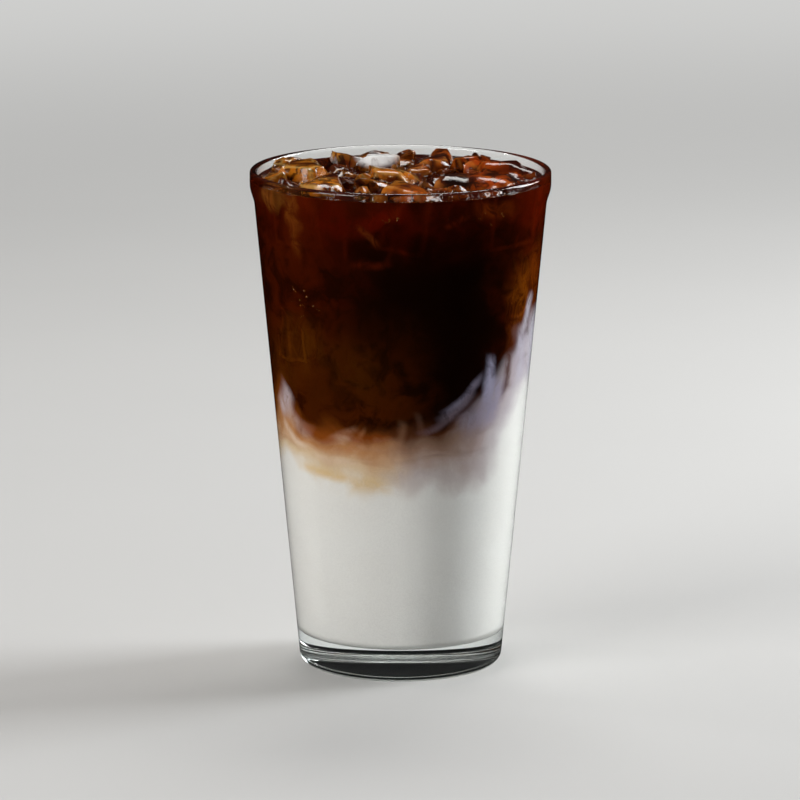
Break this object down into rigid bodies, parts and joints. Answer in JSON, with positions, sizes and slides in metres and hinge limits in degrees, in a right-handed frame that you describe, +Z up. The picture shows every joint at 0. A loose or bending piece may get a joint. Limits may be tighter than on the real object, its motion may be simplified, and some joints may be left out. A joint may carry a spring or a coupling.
{
  "type": "iced latte in a pint glass",
  "caption": "Iced latte in a tapered pint glass: a thick clear base, white milk, a blended tan layer, dark coffee and ice cubes standing out of the top.",
  "frame": {"origin": "on the axis at the bottom of the glass, where it stands on the table", "axes": "+Z up along the axis of the glass, -Y to the front, +X to the right seen from the front"},
  "size_m": [0.089, 0.089, 0.1505],
  "materials": {
    "glass": "clear",
    "milk": "gloss",
    "blend": "gloss",
    "coffee": "gloss",
    "ice": "clear"
  },
  "bodies": {
    "root": {"glass": "glass", "milk": "milk", "blend": "blend", "coffee": "coffee", "ice_1": "ice", "ice_2": "ice", "ice_3": "ice", "ice_4": "ice", "ice_5": "ice", "ice_6": "ice", "ice_7": "ice", "ice_8": "ice"}
  },
  "joints": []
}
